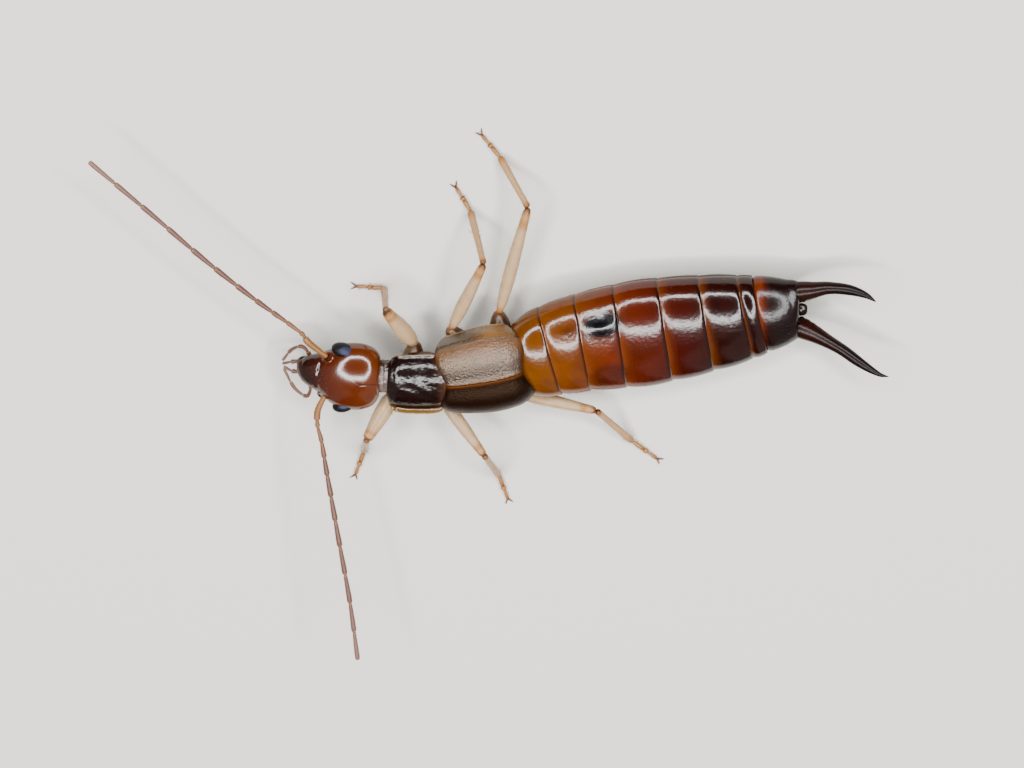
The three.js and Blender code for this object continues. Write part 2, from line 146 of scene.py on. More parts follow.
def tube(name, stations, sides=24):
    """A closed tube along X from stations (x, half width, lowest z, highest z)."""
    deselect()
    x, half, low, high = stations[0]
    bpy.ops.mesh.primitive_circle_add(vertices=sides, radius=1, fill_type="NGON",
                                      rotation=(math.pi / 2, 0, math.pi / 2))
    piece = bpy.context.object
    piece.name = piece.data.name = name
    bpy.ops.object.transform_apply(location=False, rotation=True, scale=True)
    bpy.ops.object.mode_set(mode="EDIT")
    bpy.ops.mesh.select_all(action="SELECT")
    bpy.ops.transform.resize(value=(1, half, (high - low) / 2), center_override=(0, 0, 0))
    centre = Vector((x, 0, (low + high) / 2))
    bpy.ops.transform.translate(value=centre)
    for x, next_half, next_low, next_high in stations[1:]:
        target = Vector((x, 0, (next_low + next_high) / 2))
        bpy.ops.mesh.extrude_region_move(TRANSFORM_OT_translate={"value": target - centre})
        ratio = (1, next_half / half, (next_high - next_low) / (high - low))
        bpy.ops.transform.resize(value=ratio, center_override=target)
        half, low, high, centre = next_half, next_low, next_high, target
    bpy.ops.mesh.select_all(action="SELECT")
    bpy.ops.mesh.normals_make_consistent(inside=False)
    bpy.ops.object.mode_set(mode="OBJECT")
    return piece


def apply_all(piece):
    only(piece)
    for modifier in list(piece.modifiers):
        bpy.ops.object.modifier_apply(modifier=modifier.name)


def smooth(piece, levels=1):
    """Rounds a piece by subdivision and shades it smooth."""
    only(piece)
    if levels:
        modifier = piece.modifiers.new("Subdivision", "SUBSURF")
        modifier.levels = modifier.render_levels = levels
        bpy.ops.object.modifier_apply(modifier=modifier.name)
    bpy.ops.object.shade_smooth()
    return piece


def lay_on_spine(piece):
    """Bends a straight piece along the body's middle line and puts it in the frame."""
    step = 0.05
    for vertex in piece.data.vertices:
        x, out, z = vertex.co
        rise = value_at(SPINE, x + step) - value_at(SPINE, x - step)
        side = Vector((-rise, 2 * step, 0)).normalized()
        vertex.co = place(x, value_at(SPINE, x), z) + side * out * MM
    piece.data.update()
    return piece


def join(name, pieces):
    """Joins pieces into one mesh."""
    only(pieces[0])
    for piece in pieces:
        piece.select_set(True)
    bpy.ops.object.join()
    pieces[0].name = pieces[0].data.name = name
    return pieces[0]


def finish_piece(piece, material, slot, *nodes):
    """Gives a piece its finish, lets it ride on the body and hides the solids that it stands for."""
    piece.data.materials.clear()
    piece.data.materials.append(material)
    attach(piece, "root")
    if nodes:
        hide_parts(*nodes)
    print(piece.name, len(piece.data.polygons), "faces")
    return piece


# %% [markdown]
# ## How the finishes are made
# Insect cuticle is a layered, waxed shell over coloured tissue. So each finish has a colour that shifts
# along the plate, a gloss of its own strength, a little light passing under the surface, and a grain.
# Its refractive index is 1.56; the shine value scales how much it mirrors. Real pits and wrinkles are
# 0.01 to 0.03 mm across, and most grains here are drawn coarser, so that they show in the picture.
# Colours are written as screen hex values and turned to linear by one function.

# %% Helpers for finishes
CHITIN_IOR = 1.56
WAX_SHINE = 0.24
LIGHT_DEPTH = 0.25 * MM
LIGHT_REACH = (1.0, 0.45, 0.2)
CLOUD_LOW, CLOUD_HIGH = 0.4, 0.75


def colour(hex_value):
    parts = [int(hex_value[i:i + 2], 16) / 255 for i in (1, 3, 5)]
    return [c / 12.92 if c <= 0.04045 else ((c + 0.055) / 1.055) ** 2.4 for c in parts] + [1]


def add(tree, kind, settings=None, **links):
    """Adds a node, sets its properties, and sets or links its inputs by name."""
    node = tree.nodes.new("ShaderNode" + kind)
    for key, value in (settings or {}).items():
        setattr(node, key, value)
    for key, value in links.items():
        socket = node.inputs[int(key[1:]) if key[1:].isdigit() else key.replace("_", " ")]
        if isinstance(value, bpy.types.NodeSocket):
            tree.links.new(value, socket)
        else:
            socket.default_value = value
    return node


def ramp(tree, factor, stops):
    node = add(tree, "ValToRGB", Fac=factor)
    elements = node.color_ramp.elements
    while len(elements) < len(stops):
        elements.new(0.5)
    for element, (position, hex_value) in zip(elements, stops):
        element.position = position
        element.color = colour(hex_value)
    return node.outputs["Color"]


def new_material(name):
    material = bpy.data.materials.new(name)
    material.use_nodes = True
    tree = material.node_tree
    tree.nodes.clear()
    return material, tree


def cuticle(name, base, roughness=0.3, grain=0.0, grain_mm=0.04, under=0.0, depth_mm=0.012,
            shine=WAX_SHINE, tint="#ffffff", smoother=None):
    """Cuticle: base(tree, coordinates) gives its colour, and smoother a mark and the roughness on it."""
    material, tree = new_material(name)
    where = add(tree, "TexCoord").outputs["Object"]
    shader = add(tree, "BsdfPrincipled", Roughness=roughness, IOR=CHITIN_IOR, Specular_IOR_Level=shine,
                 Specular_Tint=colour(tint), Subsurface_Weight=under, Subsurface_Scale=LIGHT_DEPTH,
                 Subsurface_Radius=LIGHT_REACH)
    tree.links.new(base(tree, where), shader.inputs["Base Color"])
    if smoother:
        mark, lowest = smoother
        polish = add(tree, "MapRange", Value=attribute(tree, mark), From_Max=0.5, To_Min=roughness,
                     To_Max=lowest)
        tree.links.new(polish.outputs["Result"], shader.inputs["Roughness"])
    if grain:
        bumps = add(tree, "TexNoise", Vector=where, Scale=1 / (grain_mm * MM), Detail=3.0)
        bump = add(tree, "Bump", Height=bumps.outputs["Fac"], Strength=grain, Distance=depth_mm * MM)
        tree.links.new(bump.outputs["Normal"], shader.inputs["Normal"])
    output = add(tree, "OutputMaterial")
    tree.links.new(shader.outputs["BSDF"], output.inputs["Surface"])
    return material


def along_body(tree, where, start, end):
    """0 to 1 from one x to another, in the animal's millimetres."""
    x = add(tree, "SeparateXYZ", Vector=where).outputs["X"]
    low, high = place(start, 0, 0).x, place(end, 0, 0).x
    return add(tree, "MapRange", Value=x, From_Min=low, From_Max=high).outputs["Result"]


def attribute(tree, name):
    return add(tree, "Attribute", {"attribute_name": name}).outputs["Fac"]


def mixed(tree, factor, first, second):
    """Mixes two colours, each a socket or a hex value."""
    ends = [colour(value) if isinstance(value, str) else value for value in (first, second)]
    return add(tree, "Mix", {"data_type": "RGBA"}, Factor=factor, _6=ends[0], _7=ends[1]).outputs[2]


def clouded(tree, where, ground, size_mm, amount, hex_value):
    """Mixes a second colour into the ground colour in soft clouds of about size_mm."""
    noise = add(tree, "TexNoise", Vector=where, Scale=1 / (size_mm * MM), Detail=3.0)
    factor = add(tree, "MapRange", Value=noise.outputs["Fac"], From_Min=CLOUD_LOW, From_Max=CLOUD_HIGH,
                 To_Max=amount)
    return mixed(tree, factor.outputs["Result"], ground, hex_value)


def paint(piece, name, value):
    """Stores a number at each vertex, from a function of the vertex's place."""
    layer = piece.data.attributes.new(name, "FLOAT", "POINT")
    layer.data.foreach_set("value", [value(vertex.co) for vertex in piece.data.vertices])


def bump_at(x, centre, width):
    """A smooth hump: 1 at its centre and near 0 past twice its width."""
    return math.exp(-((x - centre) / width) ** 2)


def share_of(value, start, span):
    """0 below start and 1 past start + span."""
    return min(1, max(0, (value - start) / span))


# %% [markdown]
# ## The head
# The head capsule is flat, broad behind the eyes and orange-brown, and it narrows and darkens to the
# mouth. A fine seam runs forward from its rear edge and forks faintly between the eyes. It is one tube,
# with the seam pressed in and the brow over the mouth pressed across.

# %% Head capsule
HEAD = [(-5.76, 0.12, 1.18, 1.32), (-5.73, 0.24, 1.1, 1.39), (-5.66, 0.35, 1.04, 1.46),
        (-5.48, 0.46, 0.97, 1.57), (-5.33, 0.515, 0.94, 1.64), (-5.2, 0.575, 0.92, 1.7),
        (-5.07, 0.66, 0.91, 1.77), (-4.95, 0.755, 0.9, 1.84), (-4.82, 0.85, 0.89, 1.89),
        (-4.65, 0.94, 0.89, 1.94), (-4.4, 0.995, 0.89, 1.98), (-4.08, 0.995, 0.91, 1.99),
        (-3.83, 0.91, 0.95, 1.95), (-3.67, 0.78, 1.02, 1.87), (-3.59, 0.64, 1.1, 1.77),
        (-3.55, 0.42, 1.22, 1.62)]
SEAM_FORK = -4.12
SEAM_LOWEST = 1.5
SEAM_WIDTH = 0.014
SEAM_DEPTH = 0.006
FORK_LENGTH = 0.3
FORK_DEPTH = 0.6
BROW_X, BROW_CURVE, BROW_WIDTH, BROW_DEPTH = -5.24, 0.12, 0.05, 0.022
FACE_X, FACE_FADE, FACE_LOWEST = -4.95, 0.25, 1.4
DIMPLE_DEPTH = 0.005
NOTCH_X, NOTCH_HALF, NOTCH_DEPTH = -3.66, 0.2, 0.3


def seam_strength(x, out, z):
    """How near a point of the head's back lies to the forked seam, 1 on it."""
    if z < SEAM_LOWEST:
        return 0
    if x > SEAM_FORK:
        return bump_at(out, 0, SEAM_WIDTH)
    fork = max(0, 1 - (SEAM_FORK - x) / FORK_LENGTH)
    distance = abs(abs(out) - (SEAM_FORK - x)) * math.cos(math.pi / 4)
    return FORK_DEPTH * fork * bump_at(distance, 0, SEAM_WIDTH)


head = smooth(tube("head_capsule", HEAD, 32), 3)
paint(head, "seam", lambda co: seam_strength(*co))
for vertex in head.data.vertices:
    x, out, z = vertex.co
    dent = SEAM_DEPTH * seam_strength(x, out, z)
    if z > FACE_LOWEST:
        dimples = 0.5 + 0.5 * math.sin(out * 40) * math.sin(x * 31)
        dent += BROW_DEPTH * bump_at(x, BROW_X + BROW_CURVE * out * out, BROW_WIDTH)
        dent += DIMPLE_DEPTH * dimples * share_of(-x, -FACE_X, FACE_FADE)
    vertex.co.z -= dent
    vertex.co.x -= NOTCH_DEPTH * bump_at(out, 0, NOTCH_HALF) * max(0, x - NOTCH_X)
lay_on_spine(head)


def head_colour(tree, where):
    face = ramp(tree, along_body(tree, where, -5.8, -3.6),
                [(0, "#100402"), (0.2, "#150603"), (0.27, "#250a03"), (0.36, "#361103"), (0.6, "#3f1603"),
                 (1, "#491e03")])
    patches = clouded(tree, where, face, 0.5, 0.5, "#360e02")
    return mixed(tree, attribute(tree, "seam"), patches, "#250a02")


head_chitin = cuticle("polished orange-brown cuticle", head_colour, roughness=0.16, grain=0.07,
                      grain_mm=0.05, under=0.06, shine=0.45)
SOCKETS = [(-5.02, 0.6, 1.585), (-5.06, -0.6, 1.5)]
SOCKET_RADIUS, SOCKET_RIM = 0.125, 0.034
SOCKET_FACES = (-0.45, 0.55, 0.8)
rings = []
for socket in SOCKETS:
    deselect()
    bpy.ops.mesh.primitive_torus_add(major_segments=28, minor_segments=12, major_radius=SOCKET_RADIUS,
                                     minor_radius=SOCKET_RIM)
    ring = bpy.context.object
    forward, outward, upward = SOCKET_FACES
    heading = Vector((forward, math.copysign(outward, socket[1]), upward))
    slant = heading.to_track_quat("Z", "X").to_matrix().to_4x4()
    ring.data.transform(Matrix.Translation(socket) @ slant)
    only(ring)
    bpy.ops.object.shade_smooth()
    rings.append(lay_on_spine(ring))
head = join("head_capsule", [head, *rings])
finish_piece(head, head_chitin, "head_chitin", "head")

# %% [markdown]
# ## The eyes
# Each eye is a bulging oval of many tiny facets. It looks black from the side and slate blue from above,
# where more light comes back out of the facets; that slate blue is a painted sheen, put on the side
# of each eye that faces up and towards the camera. A ball, stretched and turned, gives the bulge. The
# facets are about 0.02 mm across, far too many to model, so the finish draws them, a little coarser.

# %% Eyes
EYE_OUT = 0.82
EYE_HALF = (0.33, 0.2, 0.25)
EYE_BACK = 0.05
EYE_TURN = 0.3
SHEEN_WAY = Vector((0.28, 0.45, 0.85)).normalized()
SHEEN_EDGE, SHEEN_FADE = 0.76, 0.1
FACET_MM = 0.03


def eye_colour(tree, where):
    cells = add(tree, "TexVoronoi", Vector=where, Scale=1 / (FACET_MM * MM))
    facets = ramp(tree, cells.outputs["Distance"], [(0, "#2c2d48"), (0.7, "#1c1e32")])
    return mixed(tree, attribute(tree, "painted_sheen"), "#030306", facets)


eye_gloss = cuticle("faceted eye", eye_colour, roughness=0.5, grain=0.12, grain_mm=FACET_MM, shine=0.14)
for name, side in (("right", 1), ("left", -1)):
    deselect()
    bpy.ops.mesh.primitive_uv_sphere_add(segments=48, ring_count=32, radius=1)
    eye = bpy.context.object
    eye.name = eye.data.name = "compound_eye_" + name
    # Painted sheen: the slate-blue facets show only on the side of each eye that faces SHEEN_WAY, up and
    # towards the camera; the rest is painted black.
    paint(eye, "painted_sheen", lambda co: share_of(co.normalized().dot(SHEEN_WAY), SHEEN_EDGE, SHEEN_FADE))
    middle = place(EYE_X + EYE_BACK, value_at(SPINE, EYE_X) + side * EYE_OUT, EYE_Z)
    turn = Matrix.Rotation(side * -EYE_TURN, 4, "Z")
    stretch = Matrix.Diagonal([half * MM for half in EYE_HALF] + [1])
    eye.data.transform(Matrix.Translation(middle) @ turn @ stretch)
    smooth(eye, 0)
    finish_piece(eye, eye_gloss, "eye", "eye_" + name)

# %% [markdown]
# ## Jaws and lips
# In front the head ends in a short upper lip over a pair of hooked jaws, all near black and worn smooth.
# The lip is a flat tube on the body's line. A jaw is a tapering tube, drawn straight and laid on a curve.

# %% Mouth


def path_through(points):
    """Rows of (distance, x, y, z) for a smooth path through a few points."""
    rows = [(0, *points[0])]
    for before, after in zip(points, points[1:]):
        rows.append((rows[-1][0] + math.dist(before, after), *after))
    return rows


def lay_on_path(piece, points):
    """Bends a straight piece, drawn from x = 0 to the path's length, along a path."""
    rows = path_through(points)
    step = 0.02

    def at(distance):
        inside = min(max(distance, 0), rows[-1][0])
        return Vector([value_at(rows, inside, column) for column in (1, 2, 3)])

    for vertex in piece.data.vertices:
        x, out, up = vertex.co
        inside = min(max(x, step), rows[-1][0] - step)
        along = (at(inside + step) - at(inside - step)).normalized()
        side = Vector((0, 0, 1)).cross(along).normalized()
        rise = along.cross(side)
        point = at(x) + along * (x - min(max(x, 0), rows[-1][0])) + side * out + rise * up
        vertex.co = place(*point)
    piece.data.update()
    return piece


def path_length(points):
    return path_through(points)[-1][0]


def round_rows(*rows):
    """Stations of a round, straight tube from pairs of x and half width."""
    return [(x, half, -half, half) for x, half in rows]


def dark_colour(tree, where):
    return clouded(tree, where, "#240e05", 0.15, 0.8, "#0e0402")


mouth_chitin = cuticle("near-black mouth cuticle", dark_colour, roughness=0.25, grain=0.3, grain_mm=0.04)
LIP = [(-5.83, 0.1, 1.14, 1.22), (-5.81, 0.19, 1.1, 1.3), (-5.73, 0.27, 1.08, 1.4),
       (-5.6, 0.33, 1.1, 1.5), (-5.5, 0.32, 1.2, 1.53)]
JAW = [(0, 0.1, -0.12, 0.12), *round_rows((0.15, 0.11), (0.3, 0.08), (0.4, 0.03))]
JAW_PATH = [(-5.46, 0.16, 0.98), (-5.7, 0.15, 0.97), (-5.84, 0.04, 1.0)]
mouth = [lay_on_spine(smooth(tube("upper_lip", LIP, 16), 2))]
mouth_y = value_at(SPINE, -5.5)
for side in (1, -1):
    jaw_path = [(x, mouth_y + side * out, z) for x, out, z in JAW_PATH]
    mouth.append(lay_on_path(smooth(tube("jaw", JAW, 12), 2), jaw_path))
finish_piece(join("mouthparts", mouth), mouth_chitin, "head_chitin")

# %% [markdown]
# ## The feelers
# A feeler is a string of slender segments: a stout first one in its socket, a short second, and then
# ten more that swell a little to their far ends. Their fine down makes them satin rather than glossy. A
# curve with a round bevel would have no waists, so one segment is modelled and copied along the path.

# %% Feelers
FEELERS = {
    "right": [(-5.0, 1.636, 1.58), (-5.5, 2.1, 1.62), (-5.66, 2.34, 1.6), (-6.94, 3.39, 1.6),
              (-8.2, 4.53, 1.63), (-9.53, 5.85, 1.68), (-11.24, 7.5, 1.72)],
    "left": [(-5.05, 0.46, 1.52), (-5.26, 0.02, 1.62), (-5.27, -0.38, 1.72), (-5.17, -0.8, 1.8),
             (-5.05, -1.62, 1.88), (-4.73, -3.67, 2.1), (-4.44, -5.56, 2.22), (-4.24, -7.33, 2.32)]}
FEELER_LENGTHS = [0.74, 0.17, 0.42, 0.44, 0.5, 0.6, 0.68, 0.74, 0.8, 0.84, 0.84, 0.82]
FEELER_HALVES = [0.1, 0.075, 0.07, 0.078, 0.082, 0.085, 0.085, 0.084, 0.082, 0.08, 0.078, 0.074]
SEGMENT = round_rows((0, 0.56), (0.03, 0.7), (0.25, 0.78), (0.75, 0.98), (0.93, 1.0), (0.99, 0.84),
                     (1.0, 0.6))
SEGMENT_GAP = 0.008
JOINT_SPAN = 0.18


def copy_of(piece):
    copy = piece.copy()
    copy.data = piece.data.copy()
    bpy.context.scene.collection.objects.link(copy)
    return copy


def sized(piece, length, half_width, start=0):
    """Scales a piece of unit length and width, and moves its start along X."""
    sizes = Matrix.Diagonal((length, half_width, half_width, 1))
    piece.data.transform(Matrix.Translation((start, 0, 0)) @ sizes)
    return piece


segment = smooth(tube("segment", SEGMENT, 12), 2)


def beaded(name, points, lengths, halves):
    """Segments along a path. Each vertex knows its share of the way and how near it is to a joint."""
    total = path_length(points)
    scale = total / sum(lengths)
    beads = []
    start = 0
    for length, half in zip(lengths, halves):
        bead = copy_of(segment)
        span = length * scale
        paint(bead, "share", lambda co: (start + span * co.x) / total)
        paint(bead, "joint", lambda co: share_of(abs(co.x - 0.5) * 2, 1 - JOINT_SPAN, JOINT_SPAN))
        beads.append(sized(bead, span - SEGMENT_GAP, half, start))
        start += span
    return lay_on_path(join(name, beads), points)


def feeler_colour(tree, where):
    skin = ramp(tree, attribute(tree, "share"),
                [(0, "#6e4416"), (0.1, "#66401e"), (0.25, "#4c2e22"), (0.8, "#52362e"), (1, "#62473c")])
    return mixed(tree, attribute(tree, "joint"), skin, "#6e4e38")


feeler_chitin = cuticle("satin feeler cuticle", feeler_colour, roughness=0.36, grain=0.3,
                        grain_mm=0.03, under=0.1)
feelers = {name: beaded("feeler_" + name, points, FEELER_LENGTHS, FEELER_HALVES)
           for name, points in FEELERS.items()}
for name, feeler in feelers.items():
    finish_piece(feeler, feeler_chitin, "feeler", "antenna_" + name)

# %% [markdown]
# ## The palps
# Two pairs of short jointed palps feel about in front of the mouth; they are pale brown and thin. They
# are beaded like the feelers, so the same segment is copied along shorter paths, with fewer joints.

# %% Palps
PALPS = {
    "right": [(-5.42, 1.3, 1.0), (-5.66, 1.62, 0.96), (-5.95, 1.5, 0.86), (-6.22, 1.1, 0.74)],
    "left": [(-5.42, 0.66, 1.0), (-5.56, 0.14, 0.98), (-5.9, 0.3, 0.84), (-6.2, 0.84, 0.7)]}
PALP_SHARES = [0.16, 0.28, 0.3, 0.26]
PALP_HALF = [0.07, 0.062, 0.058, 0.046]
LIP_PALPS = {"right": [(-5.6, 1.2, 0.94), (-5.95, 1.14, 0.9), (-6.23, 1.03, 0.8)],
             "left": [(-5.6, 0.86, 0.94), (-5.93, 0.84, 0.88), (-6.2, 0.92, 0.76)]}
LIP_PALP_SHARES = [0.3, 0.3, 0.4]
LIP_PALP_HALF = [0.07, 0.068, 0.046]


for name in PALPS:
    parts = [beaded("jaw_palp", PALPS[name], PALP_SHARES, PALP_HALF),
             beaded("lip_palp", LIP_PALPS[name], LIP_PALP_SHARES, LIP_PALP_HALF)]
    finish_piece(join("palps_" + name, parts), feeler_chitin, "feeler", "palp_" + name)

# %% [markdown]
# ## The neck
# Behind the head the skin is soft, moist and pale, in a few rings, and two darker plates strengthen its
# sides. A tube whose stations swell and shrink by turns gives the rings, without any carving.

# %% Neck
NECK_START, NECK_END, NECK_RINGS = -3.74, -3.14, 4
NECK_HALF, NECK_LOW, NECK_HIGH, NECK_SWELL = 0.46, 1.06, 1.66, 0.045
NECK_PLATE_MIDDLE, NECK_PLATE_START, NECK_PLATE_FADE = -0.06, 0.24, 0.16
neck_stations = []
for i in range(NECK_RINGS * 2 + 1):
    swell = NECK_SWELL * (i % 2)
    x = NECK_START + (NECK_END - NECK_START) * i / (NECK_RINGS * 2)
    neck_stations.append((x, NECK_HALF + swell, NECK_LOW - swell, NECK_HIGH + swell))


def neck_colour(tree, where):
    skin = clouded(tree, where, "#64544e", 0.12, 0.9, "#2e1f16")
    return mixed(tree, attribute(tree, "side"), skin, "#200c05")


neck_skin = cuticle("pale neck skin", neck_colour, roughness=0.18, grain=1.0, grain_mm=0.1,
                    depth_mm=0.04, shine=0.6)
neck = smooth(tube("neck_skin", neck_stations, 20), 2)
paint(neck, "side", lambda co: share_of(abs(co.y - NECK_PLATE_MIDDLE), NECK_PLATE_START, NECK_PLATE_FADE))
finish_piece(lay_on_spine(neck), neck_skin, "pale_chitin", "neck")

# %% [markdown]
# ## The shield behind the head
# The pronotum is an almost square plate with thin, pale, see-through side rims and a rounded rear edge.
# It is glossy black-brown, and its soft wrinkles break up every reflection. A tube has no such flat
# rims, so a grid is pressed into shape and then given its thickness.

# %% Shield
SHIELD_FRONT, SHIELD_REAR, SHIELD_BULGE = -3.37, -1.9, 0.22
SHIELD_HALF = [(0, 0.7), (0.06, 0.775), (0.3, 0.82), (0.7, 0.835), (1, 0.83)]
SHIELD_RIM = 0.9
SHIELD_TOP, SHIELD_EDGE = 1.99, 1.7
FLANGE_SHARE, FLANGE_OUT, FLANGE_LIFT = 0.14, 0.08, 0.07
COLLAR = 0.012
DENT = 0.006
PLATE = 0.05
GRID = 48


def plate_grid(name, surface, marks):
    """A grid pressed to surface(u, v), u and v from 0 to 1, marked, and thickened downwards."""
    deselect()
    bpy.ops.mesh.primitive_grid_add(x_subdivisions=GRID, y_subdivisions=GRID, size=1)
    plate = bpy.context.object
    plate.name = plate.data.name = name
    shares = [(vertex.co.x + 0.5, vertex.co.y + 0.5) for vertex in plate.data.vertices]
    for key, mark in marks.items():
        layer = plate.data.attributes.new(key, "FLOAT", "POINT")
        layer.data.foreach_set("value", [mark(u, v) for u, v in shares])
    for vertex, (u, v) in zip(plate.data.vertices, shares):
        vertex.co = surface(u, v)
    bpy.ops.object.mode_set(mode="EDIT")
    bpy.ops.mesh.select_all(action="SELECT")
    bpy.ops.mesh.remove_doubles(threshold=1e-4)
    bpy.ops.mesh.normals_make_consistent(inside=False)
    bpy.ops.object.mode_set(mode="OBJECT")
    if sum(polygon.normal.z for polygon in plate.data.polygons) < 0:
        plate.data.flip_normals()
    wall = plate.modifiers.new("Wall", "SOLIDIFY")
    wall.thickness = PLATE
    wall.offset = -1
    wall.use_rim = True
    round_edge = plate.modifiers.new("Round", "BEVEL")
    round_edge.width = PLATE * 0.3
    round_edge.segments = 2
    round_edge.limit_method = "ANGLE"
    apply_all(plate)
    only(plate)
    bpy.ops.object.shade_smooth()
    return plate


def shield_surface(u, v):
    """The shield's outer face: u runs from front to rear and v from the left rim to the right one."""
    across = (v - 0.5) * 2
    half = value_at(SHIELD_HALF, u)
    corner = abs(across) ** 3.2
    front = SHIELD_FRONT + 0.12 * corner ** 2
    rear = SHIELD_REAR + SHIELD_BULGE * (1 - abs(across) ** 2.4)
    x = front + (rear - front) * u
    end_round = 1 - 0.14 * max(0, (u - 0.8) / 0.2) ** 3
    flange = share_of(-across, 1 - FLANGE_SHARE, FLANGE_SHARE)
    out = across * half * end_round - FLANGE_OUT * flange
    swell = 1 - min(1, abs(across) / SHIELD_RIM) ** 2.9
    collar = COLLAR * (bump_at(u, 0.02, 0.03) - bump_at(u, 0.09, 0.04))
    fall = 0.12 * max(0, 1 - u / 0.16) ** 2 + 0.07 * max(0, (u - 0.8) / 0.2) ** 2
    dents = DENT * math.sin(u * 13 + across * 5) * math.sin(across * 9 + u * 4) * swell
    rise = (SHIELD_TOP - SHIELD_EDGE) * swell ** 0.95
    return (x, out, SHIELD_EDGE + rise - fall + FLANGE_LIFT * flange + collar + dents)


def shield_rim(u, v):
    """0 on the dark disc, about half on the brown side strips and the rear, 1 on the pale side edges; the
    left strip is painted paler and the right one darker, as painted light and shade.
    """
    across = abs(v - 0.5) * 2
    # Painted light and shade: the left side strip starts wider and is paler, the right one narrower and
    # darker.
    start, most = (0.87, 0.5) if v < 0.5 else (0.93, 0.34)
    side = most * (share_of(across, start, 0.03) + share_of(across, 0.97, 0.01))
    return max(side, 0.46 * share_of(u, 0.74, 0.24))


def shield_colour(tree, where):
    disc = clouded(tree, where, "#0c0201", 0.4, 0.5, "#160402")
    rim = ramp(tree, attribute(tree, "rim"),
               [(0, "#100301"), (0.3, "#261004"), (0.5, "#4a3006"), (0.8, "#5a4218"), (1, "#6c5630")])
    where_rim = ramp(tree, attribute(tree, "rim"), [(0, "#000000"), (0.2, "#ffffff")])
    return mixed(tree, where_rim, disc, rim)


shield_chitin = cuticle("polished black-brown cuticle", shield_colour, roughness=0.18, grain=0.8,
                        grain_mm=0.14, depth_mm=0.02, shine=0.34)
shield = plate_grid("shield", shield_surface, marks={"rim": shield_rim})
finish_piece(lay_on_spine(shield), shield_chitin, "shield_chitin", "pronotum")

# %% [markdown]
# ## The chest under the shield and the wing cases
# The chest itself is satin brown and stays in the shade, so two plain tubes are enough: a short one
# under the shield and a longer one under the wing cases. The hips stand in them.

# %% Chest
FORE_CHEST = [(-3.24, 0.3, 1.1, 1.5), (-3.2, 0.5, 0.94, 1.62), (-2.9, 0.66, 0.78, 1.72),
              (-2.5, 0.7, 0.72, 1.78), (-2.1, 0.66, 0.72, 1.78), (-1.88, 0.56, 0.8, 1.72),
              (-1.82, 0.4, 0.95, 1.6)]
REAR_CHEST = [(-1.8, 0.5, 0.9, 1.6), (-1.74, 0.74, 0.72, 1.8), (-1.4, 0.98, 0.58, 1.92),
              (-0.9, 1.08, 0.52, 1.98), (-0.45, 1.1, 0.5, 1.98), (0.0, 1.04, 0.48, 1.92),
              (0.2, 0.98, 0.46, 1.84), (0.3, 0.7, 0.6, 1.6)]


def chest_colour(tree, where):
    return clouded(tree, where, "#1c0b04", 0.3, 0.9, "#44240a")


chest_chitin = cuticle("satin brown chest cuticle", chest_colour, roughness=0.3, grain=0.4,
                       grain_mm=0.07)
finish_piece(lay_on_spine(smooth(tube("fore_chest", FORE_CHEST), 2)), chest_chitin, "underside_chitin")
finish_piece(lay_on_spine(smooth(tube("rear_chest", REAR_CHEST), 2)), chest_chitin, "underside_chitin",
             "thorax")

# %% [markdown]
# ## The wing cases
# Two short leathery cases cover the folded wings and meet in a straight seam. Each arches over the back
# and folds down along its outer side, where it is thinner, smoother and lets amber light through. Their
# backs are grained like fine leather, drawn at about 0.05 mm, a little coarser than life, so that it
# shows. Each is a grid again, wrapped round the body from the seam to the folded edge.

# %% Wing cases
CASE_ARCH = [(-2.04, 0.84, 1.32, 1.98), (-1.9, 0.98, 1.3, 2.08), (-1.6, 1.08, 1.28, 2.16),
             (-1.2, 1.15, 1.28, 2.21), (-0.6, 1.22, 1.26, 2.23), (0.0, 1.16, 1.26, 2.18),
             (0.26, 1.05, 1.27, 2.06), (0.46, 0.9, 1.28, 1.93)]
CASE_FOLD = math.radians(100)
FOLD_LINE = 0.63
FOLD_CREASE, FOLD_EDGE, ROLLED_EDGE = 0.022, 0.012, 0.03
SUTURE_HALF = 0.012
SEAM_RIDGE, SEAM_VALLEY = 0.02, 0.1
CASE_SEAM_START, CASE_SEAM_END = -1.78, 0.27
CASE_SHOULDER, CASE_CORNER = -2.02, 0.44
FRONT_SWEEP, REAR_SWEEP = 0.42, 0.5
SIDE_DROP = 0.42
END_ROUND = 0.05


def case_surface(side):
    """A case's outer face: u runs from front to rear and v from the seam to the folded edge."""
    def surface(u, v):
        shoulder = math.sin(math.pi / 2 * min(1, v / 0.6))
        corner = math.sin(math.pi / 2 * min(1, v / 0.5))
        front = CASE_SEAM_START + (CASE_SHOULDER - CASE_SEAM_START) * shoulder
        front += FRONT_SWEEP * max(0, (v - 0.6) / 0.4) ** 2
        rear = CASE_SEAM_END + (CASE_CORNER - CASE_SEAM_END) * corner
        rear -= REAR_SWEEP * max(0, (v - 0.5) / 0.5) ** 2.2
        x = front + (rear - front) * u
        half, wide, high = [value_at(CASE_ARCH, x, column) for column in (1, 2, 3)]
        angle = CASE_FOLD * v
        out = SUTURE_HALF + (half - SUTURE_HALF) * max(0, math.sin(angle)) ** 0.86
        if angle < math.pi / 2:
            up = wide + (high - wide) * math.cos(angle) ** 0.82
        else:
            up = wide + SIDE_DROP * math.cos(angle)
        crease = FOLD_CREASE * bump_at(v, FOLD_LINE + 0.05, 0.03) - FOLD_EDGE * bump_at(v, FOLD_LINE, 0.02)
        crease -= ROLLED_EDGE * share_of(v, 0.94, 0.06)
        ridge = SEAM_RIDGE * bump_at(v, 0, 0.03) - SEAM_VALLEY * bump_at(v, 0, 0.2)
        end = END_ROUND * (max(0, 1 - u / 0.06) ** 2 + max(0, (u - 0.95) / 0.05) ** 2)
        return (x, side * (out - crease * math.sin(angle)), up - crease * math.cos(angle) + ridge - end)
    return surface
